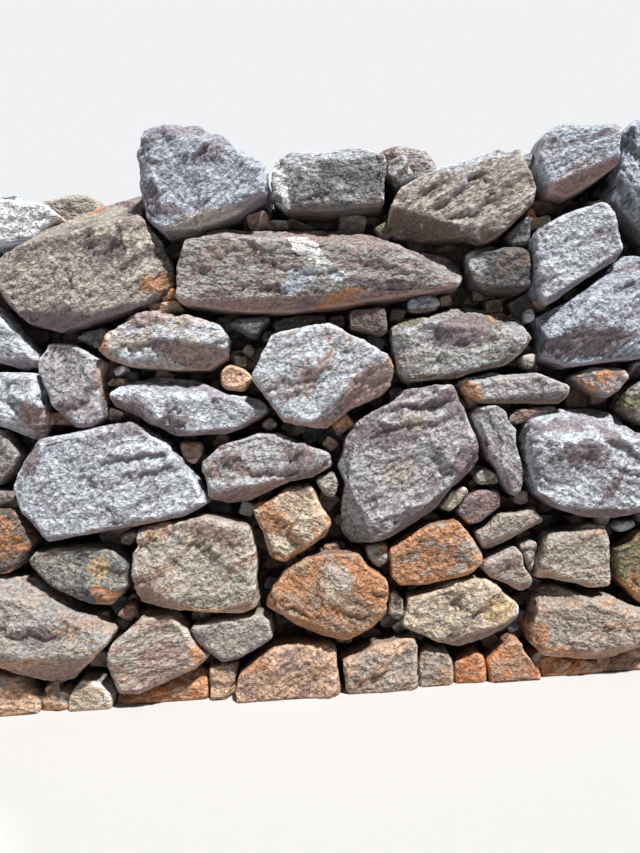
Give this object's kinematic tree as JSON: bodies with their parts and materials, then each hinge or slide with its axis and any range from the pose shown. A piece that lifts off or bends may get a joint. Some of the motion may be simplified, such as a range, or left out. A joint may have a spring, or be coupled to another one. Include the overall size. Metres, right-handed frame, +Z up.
{
  "type": "rubble stone retaining wall",
  "caption": "Battered rubble granite retaining wall section with large irregular face stones, small pinnings, packed hearting and built heads.",
  "frame": {"origin": "middle of the flat foot, on the level floor that it rests on", "axes": "+X runs along the wall, the battered front looks towards -Y, +Z is up"},
  "size_m": [1.86, 0.6267, 1.436],
  "materials": {
    "granite_pale": "matte",
    "granite_blue": "matte",
    "granite_warm": "matte",
    "granite_rust": "matte",
    "granite_mossy": "matte",
    "granite_mixed": "matte",
    "hearting_mortar": "matte"
  },
  "bodies": {
    "root": {"crown_pale_left": "granite_pale", "crown_boulder": "granite_pale", "centre_white": "granite_pale", "great_pale_slab": "granite_pale", "great_pale_right": "granite_pale", "left_grey_white": "granite_pale", "left_pale_green": "granite_pale", "pale_bed": "granite_pale", "shoulder_pale_blue": "granite_pale", "crown_blue": "granite_blue", "crown_right": "granite_blue", "great_right": "granite_blue", "grey_granite": "granite_blue", "tall_grey": "granite_blue", "lower_great_left": "granite_blue", "mottled_block": "granite_blue", "shoulder_great_beige": "granite_warm", "crown_square": "granite_warm", "crown_long_slope": "granite_warm", "shoulder_long_bed": "granite_warm", "square_beige": "granite_warm", "pinkish_square": "granite_warm", "lower_great_right": "granite_warm", "pink_foliated": "granite_warm", "shoulder_dark_square": "granite_warm", "cream_block": "granite_warm", "cream_rust": "granite_warm", "rust_hexagon": "granite_rust", "ochre_block": "granite_rust", "mossy_ochre": "granite_mossy", "lower_green_grey": "granite_mossy", "yellow_cream": "granite_mossy", "small_stones_crown": "granite_mixed", "small_stones_left": "granite_mixed", "small_stones_middle": "granite_mixed", "small_stones_right": "granite_mixed", "small_stones_lower": "granite_mixed", "foot_stones": "granite_mixed", "back_foot": "granite_mixed", "back_lower": "granite_mixed", "back_middle": "granite_mixed", "back_shoulder": "granite_mixed", "back_crown": "granite_mixed", "head_left": "granite_mixed", "head_right": "granite_mixed", "hearting": "hearting_mortar"}
  },
  "joints": []
}
